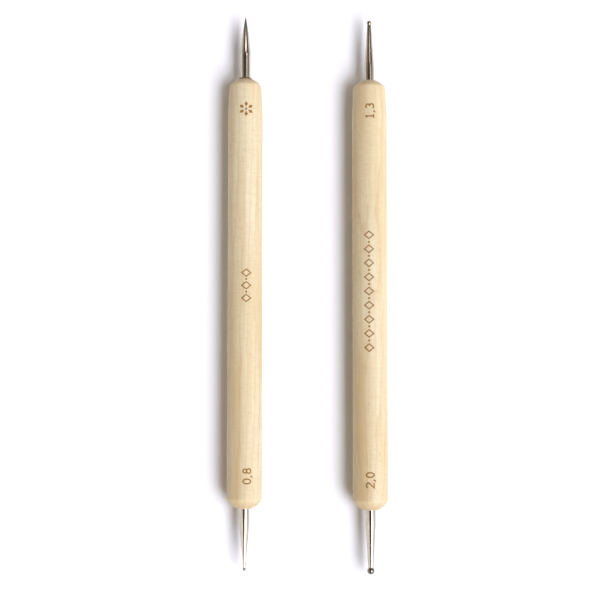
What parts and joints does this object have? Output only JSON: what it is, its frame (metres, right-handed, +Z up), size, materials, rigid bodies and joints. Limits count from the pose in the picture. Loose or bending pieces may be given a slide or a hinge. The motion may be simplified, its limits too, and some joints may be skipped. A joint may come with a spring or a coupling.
{
  "type": "embossing stylus",
  "caption": "Matched set of double-ended embossing styluses: turned hardwood handles with a pricking needle and steel ball tips on tapered shanks.",
  "frame": {"origin": "on the table under the middle of the set's outline, between the two parallel handles", "axes": "+Y along the handles towards the ends with the needle and the medium ball; +X from the needle stylus to the ball stylus; +Z up from the table"},
  "size_m": [0.0445, 0.1554, 0.0097],
  "materials": {
    "handle_wood": "fine-sanded pale maple with a thin matt wax",
    "polished_steel": "turned and polished steel",
    "ball_steel": "mirror-polished hard steel",
    "braze": "silver braze, smooth fillet",
    "glue": "set amber adhesive"
  },
  "bodies": {
    "needle_stylus": {"needle_stylus_handle": "handle_wood", "needle": "polished_steel", "needle_glue": "glue", "fine_tip_shank": "polished_steel", "fine_tip_ball": "ball_steel", "fine_tip_braze": "braze", "fine_tip_glue": "glue"},
    "ball_stylus": {"ball_stylus_handle": "handle_wood", "medium_tip_shank": "polished_steel", "medium_tip_ball": "ball_steel", "medium_tip_braze": "braze", "medium_tip_glue": "glue", "broad_tip_shank": "polished_steel", "broad_tip_ball": "ball_steel", "broad_tip_braze": "braze", "broad_tip_glue": "glue"}
  },
  "joints": [
    {"name": "ball_stylus_lift", "type": "slide", "parent": "needle_stylus", "child": "ball_stylus", "axis": [0, 0, 1], "range_m": [0, 0.05]}
  ]
}
